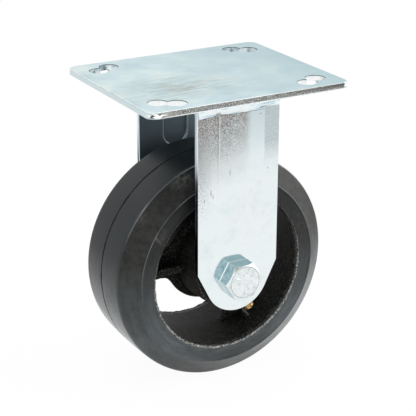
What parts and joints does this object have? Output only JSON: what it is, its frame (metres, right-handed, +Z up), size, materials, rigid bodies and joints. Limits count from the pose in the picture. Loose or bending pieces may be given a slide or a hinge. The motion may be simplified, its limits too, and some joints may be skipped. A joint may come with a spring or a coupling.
{
  "type": "fixed castor",
  "caption": "Rigid plate castor: flat mounting plate with double bolt holes, bent steel fork, spoked iron wheel with rubber tyre on a greased roller bearing.",
  "frame": {"origin": "centre of the top plate's upper face, where the castor is bolted against a frame", "axes": "+Z up, out of the mounting face; +X along the rolling direction and the plate's long side; the axle lies along Y, 102.8 mm below the origin, with the bolt head on the -Y side"},
  "size_m": [0.127, 0.103, 0.1663],
  "materials": {
    "zinc_plate": "bright zinc plating on hot-rolled sheet, cloudy and slightly blue",
    "weld": "zinc-plated weld metal, rippled",
    "zinc_fastener": "bright zinc plating on forged steel",
    "nylon": "natural nylon, moulded",
    "bearing_steel": "ground steel with a film of grease",
    "cast_iron": "sand-cast, dipped in black paint",
    "rubber": "moulded black rubber, semi-matt",
    "brass": "turned brass, dull"
  },
  "bodies": {
    "frame": {"top_plate": "zinc_plate", "fork": "zinc_plate", "weld_bead_near": "weld", "weld_bead_far": "weld", "axle_bolt": "zinc_fastener", "lock_nut": "zinc_fastener", "nut_insert": "nylon", "bearing_sleeve": "bearing_steel", "thrust_washer_near": "bearing_steel", "thrust_washer_far": "bearing_steel"},
    "wheel": {"wheel_core": "cast_iron", "rubber_tyre": "rubber", "grease_fitting": "brass", "check_spring": "bearing_steel"},
    "ball": {"check_ball": "bearing_steel"},
    "cage": {"roller_cage": "bearing_steel"},
    "roller_1": {"roller_1": "bearing_steel"},
    "roller_2": {"roller_2": "bearing_steel"},
    "roller_3": {"roller_3": "bearing_steel"},
    "roller_4": {"roller_4": "bearing_steel"},
    "roller_5": {"roller_5": "bearing_steel"},
    "roller_6": {"roller_6": "bearing_steel"},
    "roller_7": {"roller_7": "bearing_steel"},
    "roller_8": {"roller_8": "bearing_steel"}
  },
  "joints": [
    {"name": "wheel_spin", "type": "hinge", "parent": "frame", "child": "wheel", "pos_m": [0, 0, -0.1028], "axis": [0, 1, 0], "continuous": true},
    {"name": "cage_spin", "type": "hinge", "parent": "frame", "child": "cage", "pos_m": [0, 0, -0.1028], "axis": [0, 1, 0], "continuous": true},
    {"name": "roller_1_spin", "type": "hinge", "parent": "cage", "child": "roller_1", "pos_m": [0.0123, 0, -0.1028], "axis": [0, 1, 0], "continuous": true},
    {"name": "roller_2_spin", "type": "hinge", "parent": "cage", "child": "roller_2", "pos_m": [0.0087, 0, -0.1115], "axis": [0, 1, 0], "continuous": true},
    {"name": "roller_3_spin", "type": "hinge", "parent": "cage", "child": "roller_3", "pos_m": [0, 0, -0.1151], "axis": [0, 1, 0], "continuous": true},
    {"name": "roller_4_spin", "type": "hinge", "parent": "cage", "child": "roller_4", "pos_m": [-0.0087, 0, -0.1115], "axis": [0, 1, 0], "continuous": true},
    {"name": "roller_5_spin", "type": "hinge", "parent": "cage", "child": "roller_5", "pos_m": [-0.0123, 0, -0.1028], "axis": [0, 1, 0], "continuous": true},
    {"name": "roller_6_spin", "type": "hinge", "parent": "cage", "child": "roller_6", "pos_m": [-0.0087, 0, -0.0941], "axis": [0, 1, 0], "continuous": true},
    {"name": "roller_7_spin", "type": "hinge", "parent": "cage", "child": "roller_7", "pos_m": [0, 0, -0.0905], "axis": [0, 1, 0], "continuous": true},
    {"name": "roller_8_spin", "type": "hinge", "parent": "cage", "child": "roller_8", "pos_m": [0.0087, 0, -0.0941], "axis": [0, 1, 0], "continuous": true},
    {"name": "check_ball_slide", "type": "slide", "parent": "wheel", "child": "ball", "axis": [-0.5, 0, 0.866], "range_m": [0, 0.0006], "stiffness_N_per_m": 400, "springref_m": -0.0005, "deforming": ["check_spring"]}
  ],
  "couplings": [
    {"joint": "cage_spin", "follows": "wheel_spin", "ratio": 0.6129},
    {"joint": "roller_1_spin", "follows": "wheel_spin", "ratio": 2.1018},
    {"joint": "roller_2_spin", "follows": "wheel_spin", "ratio": 2.1018},
    {"joint": "roller_3_spin", "follows": "wheel_spin", "ratio": 2.1018},
    {"joint": "roller_4_spin", "follows": "wheel_spin", "ratio": 2.1018},
    {"joint": "roller_5_spin", "follows": "wheel_spin", "ratio": 2.1018},
    {"joint": "roller_6_spin", "follows": "wheel_spin", "ratio": 2.1018},
    {"joint": "roller_7_spin", "follows": "wheel_spin", "ratio": 2.1018},
    {"joint": "roller_8_spin", "follows": "wheel_spin", "ratio": 2.1018}
  ]
}
